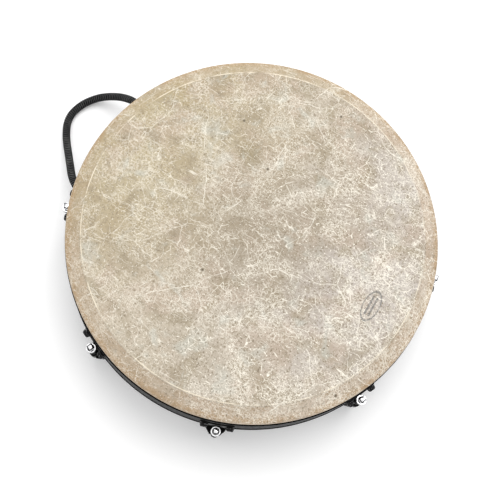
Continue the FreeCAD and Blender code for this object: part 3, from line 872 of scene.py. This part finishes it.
def make_fasteners(black, steel):
    """Flanged hex bolts outside, with nuts and washers inside, for the ears and for the brackets."""
    rows = [
        ("ear", "hoop", BAND_RADIUS + EAR_WALL, BAND_RADIUS - BAND_WALL, EAR_BOLT_OFFSET),
        ("bracket", "drum", SHELL_RADIUS + BRACKET_WALL, SHELL_RADIUS - SHELL_WALL, BRACKET_BOLT_OFFSET),
    ]
    for kind, body, face_radius, wall_radius, offset in rows:
        height = middle_height(kind + "_bolts")
        face = math.sqrt(face_radius ** 2 - (offset - BOLT_FLANGE_RADIUS) ** 2)
        nut = math.sqrt(wall_radius ** 2 - (offset + BOLT_FLANGE_RADIUS) ** 2) - NUT_GAP

        def bolts(bm):
            for side in (-offset, offset):
                spot = (side, height)
                add_disc(bm, spot, BOLT_RADIUS, nut - BOLT_PAST_NUT, face)
                add_disc(bm, spot, BOLT_FLANGE_RADIUS, face, face + BOLT_FLANGE_THICK)
                add_hex(bm, spot, HEX_FLATS, face + HEX_START, face + HEX_END, HEX_CHAMFER)

        def nuts(bm):
            for side in (-offset, offset):
                add_hex(bm, (side, height), HEX_FLATS, nut, nut - NUT_HEIGHT, -NUT_CHAMFER)

        def washers(bm):
            for side in (-offset, offset):
                add_disc(bm, (side, height), BOLT_FLANGE_RADIUS, nut, nut + WASHER_THICK, WASHER_HOLE)

        for name, build, material, slot in (("bolts", bolts, black, "black_fastener"),
                                            ("nuts", nuts, steel, "steel_fastener"),
                                            ("washers", washers, steel, "steel_fastener")):
            piece = stamp("%s_%s_fine" % (kind, name), build, [at_azimuth(a) for a in LUG_ANGLES], 30)
            piece.data.materials.append(material)
            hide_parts("%s_%s" % (kind, name))
            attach(piece, body)


def soften(obj, width):
    """Rounds a CAD node's sharp edges."""
    weld = obj.modifiers.new("weld", "WELD")
    weld.merge_threshold = 0.00001
    bevel = obj.modifiers.new("edges", "BEVEL")
    bevel.width = width
    bevel.segments = 2
    bevel.limit_method = "ANGLE"
    bevel.angle_limit = math.radians(40)
    bevel.harden_normals = True


def repaint(node, material):
    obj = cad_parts[node]
    obj.data.materials.clear()
    obj.data.materials.append(material)


# ---------------------------------------------------------------- rope handle

ROPE_RADIUS = 0.00475
ROPE_Z = 0.042
ROPE_LEFT, ROPE_RIGHT = math.radians(106.0), math.radians(70.5)
ROPE_END, ROPE_BEND = 0.176, 0.198
ROPE_LOOP = [
    (-0.0502, 0.2132, 0.0380), (-0.0240, 0.2400, 0.0200), (0.0016, 0.2660, 0.0070), (0.0228, 0.2777, 0.0053),
    (0.0447, 0.2747, 0.0053), (0.0625, 0.2630, 0.0080), (0.0711, 0.2467, 0.0180), (0.0750, 0.2289, 0.0300),
    (0.0753, 0.2110, 0.0380),
]
RIB_PITCH = 0.0028
RIB_DEPTH = 0.0006
RIB_STARTS = 2
GROOVE_SHARE = 0.15             # of the ribs' depth, below which the braid gets the painted groove shade
ROPE_STEP = 0.0004              # between rings of the tube
KNOT_SETBACK = 0.0100
KNOT_TAIL = [(0.002, 0.001, 0), (-0.006, 0.003, -0.001), (-0.014, 0.004, -0.003), (-0.020, 0.004, -0.008)]


def polar(radius, angle, height):
    return (radius * math.cos(angle), radius * math.sin(angle), height)


def rope_line():
    """Points along the rope's smooth line, read from the NURBS spline of its route."""
    route = [polar(ROPE_END, ROPE_LEFT, ROPE_Z), polar(ROPE_BEND, ROPE_LEFT, ROPE_Z)] + ROPE_LOOP
    route += [polar(ROPE_BEND, ROPE_RIGHT, ROPE_Z), polar(ROPE_END, ROPE_RIGHT, ROPE_Z)]
    data = bpy.data.curves.new("rope_route", "CURVE")
    data.dimensions = "3D"
    data.resolution_u = 64
    spline = data.splines.new("NURBS")
    spline.points.add(len(route) - 1)
    for point, place in zip(spline.points, route):
        point.co = (*place, 1)
    spline.order_u = 3
    spline.use_endpoint_u = True
    guide = bpy.data.objects.new("rope_route", data)
    bpy.context.scene.collection.objects.link(guide)
    bpy.context.view_layer.update()
    mesh = bpy.data.meshes.new_from_object(guide)
    points = [v.co.copy() for v in mesh.vertices]
    bpy.data.objects.remove(guide)
    bpy.data.meshes.remove(mesh)
    return points


def evenly(points, step):
    """Points every step along a line."""
    xyz = np.array([tuple(p) for p in points])
    lengths = np.concatenate([[0], np.cumsum(np.linalg.norm(np.diff(xyz, axis=0), axis=1))])
    places = np.linspace(0, lengths[-1], int(lengths[-1] / step) + 1)
    return [Vector([np.interp(s, lengths, xyz[:, k]) for k in range(3)]) for s in places], lengths[-1]


def rib_height(length, angle):
    """The height of a tight wrapping's ribs, nearly across the cord: 0 in a groove and 1 on a rib's top."""
    phase = length / RIB_PITCH + RIB_STARTS * angle / TURN
    return abs(math.sin(math.pi * phase))


def ribbed(length, angle):
    return ROPE_RADIUS - RIB_DEPTH * (1 - rib_height(length, angle)) ** 1.2


def knot_turns():
    """The line of a tight overhand knot about the X axis, round its own centre."""
    size = 0.0028
    line = []
    for i in range(120):
        t = TURN * i / 120
        x = -math.sin(3 * t) * size * 1.25
        y = (math.sin(t) + 2 * math.sin(2 * t)) * size
        z = (math.cos(t) - 2 * math.cos(2 * t)) * size
        line.append(Vector((x, y, z)))
    return line


def make_rope(crest, groove_shade, dark):
    points, length = evenly(rope_line(), ROPE_STEP)
    groove = ROPE_RADIUS - GROOVE_SHARE * RIB_DEPTH
    bm = bmesh.new()
    tube(bm, points, ribbed, 28, groove=groove)
    rope = add_mesh("rope", bm, 60)
    rope.data.materials.append(crest)
    rope.data.materials.append(groove_shade)
    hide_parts("handle_rope")
    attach(rope, "drum")
    for side, angle in (("left", ROPE_LEFT), ("right", ROPE_RIGHT)):
        centre = Vector(polar(ROPE_END - KNOT_SETBACK, angle, ROPE_Z))
        place = Matrix.Translation(centre) @ at_azimuth(angle)
        bm = bmesh.new()
        line, _ = evenly([place @ p for p in knot_turns() + knot_turns()[:1]], ROPE_STEP)
        tube(bm, line[:-1], ribbed, 24, closed=True, groove=groove)
        tail, _ = evenly([place @ Vector(p) for p in KNOT_TAIL], ROPE_STEP)
        tube(bm, tail, ribbed, 24, groove=groove)
        knot = add_mesh("knot_" + side, bm, 60)
        knot.data.materials.append(crest)
        knot.data.materials.append(groove_shade)
        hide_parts("rope_knot_" + side)
        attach(knot, "drum")
        make_grommet(side, angle, dark)


def make_grommet(side, angle, material):
    """A rubber sleeve with a rounded lip on each face of the shell."""
    inner, outer = SHELL_RADIUS - 0.0083, SHELL_RADIUS + 0.00005
    bore, sleeve, lip, thick = 0.0049, 0.00615, 0.0085, 0.0016
    outline = [(bore, inner - thick), (lip, inner - thick), (lip, inner), (sleeve, inner), (sleeve, outer),
               (lip, outer), (lip, outer + thick), (bore, outer + thick)]
    bm = bmesh.new()
    turn = at_azimuth(angle) @ Matrix.Translation((0, 0, ROPE_Z)) @ Matrix.Rotation(math.pi / 2, 4, "Y")
    lathe(bm, rounded(outline, 0.0007, 3), 40, turn)
    grommet = add_mesh("grommet_" + side, bm, 40)
    grommet.data.materials.append(material)
    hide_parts("rope_grommet_" + side)
    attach(grommet, "drum")


# ---------------------------------------------------------------- everything


def main():
    make_camera()
    make_stage()
    black = gloss_black("black_metal", 0.30, 0.004, 0.08)
    black_hoop = gloss_black("black_hoop", 0.30, 0.004, 0.014)
    black_bolt = gloss_black("black_fastener", 0.18, 0.004, 0.2, 0.3)
    steel = bare_metal("steel_fastener", (0.56, 0.56, 0.57, 1), 0.32)
    # The flesh hoop is coloured near black as painted shade in the gap below the skin's hem.
    flesh_hoop_shade = bare_metal("hoop_metal", (0.045, 0.045, 0.047, 1), 0.45)
    chrome = bare_metal("chrome", (0.9, 0.9, 0.91, 1), 0.06)
    make_rope(rope_black(), painted_groove_shade(), rubber())
    make_head()
    make_hoop(black_hoop)
    # The rods' second material: dark steel on the shaft, and painted shade in the flange's pan and on the
    # key's chamfer.
    make_rods(chrome, bare_metal("shaft_steel_and_pan_shade", (0.03, 0.03, 0.031, 1), 0.34))
    make_fasteners(black_bolt, steel)
    for node in EARS + BRACKETS:
        repaint(node, black)
        soften(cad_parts[node], 0.0005)
    repaint("flesh_hoop", flesh_hoop_shade)
    repaint("shell", shell_paint())
    repaint("crossbar", varnished_wood())
    repaint("crossbar_screws", black_bolt)
    repaint("rod_washers", steel)


main()
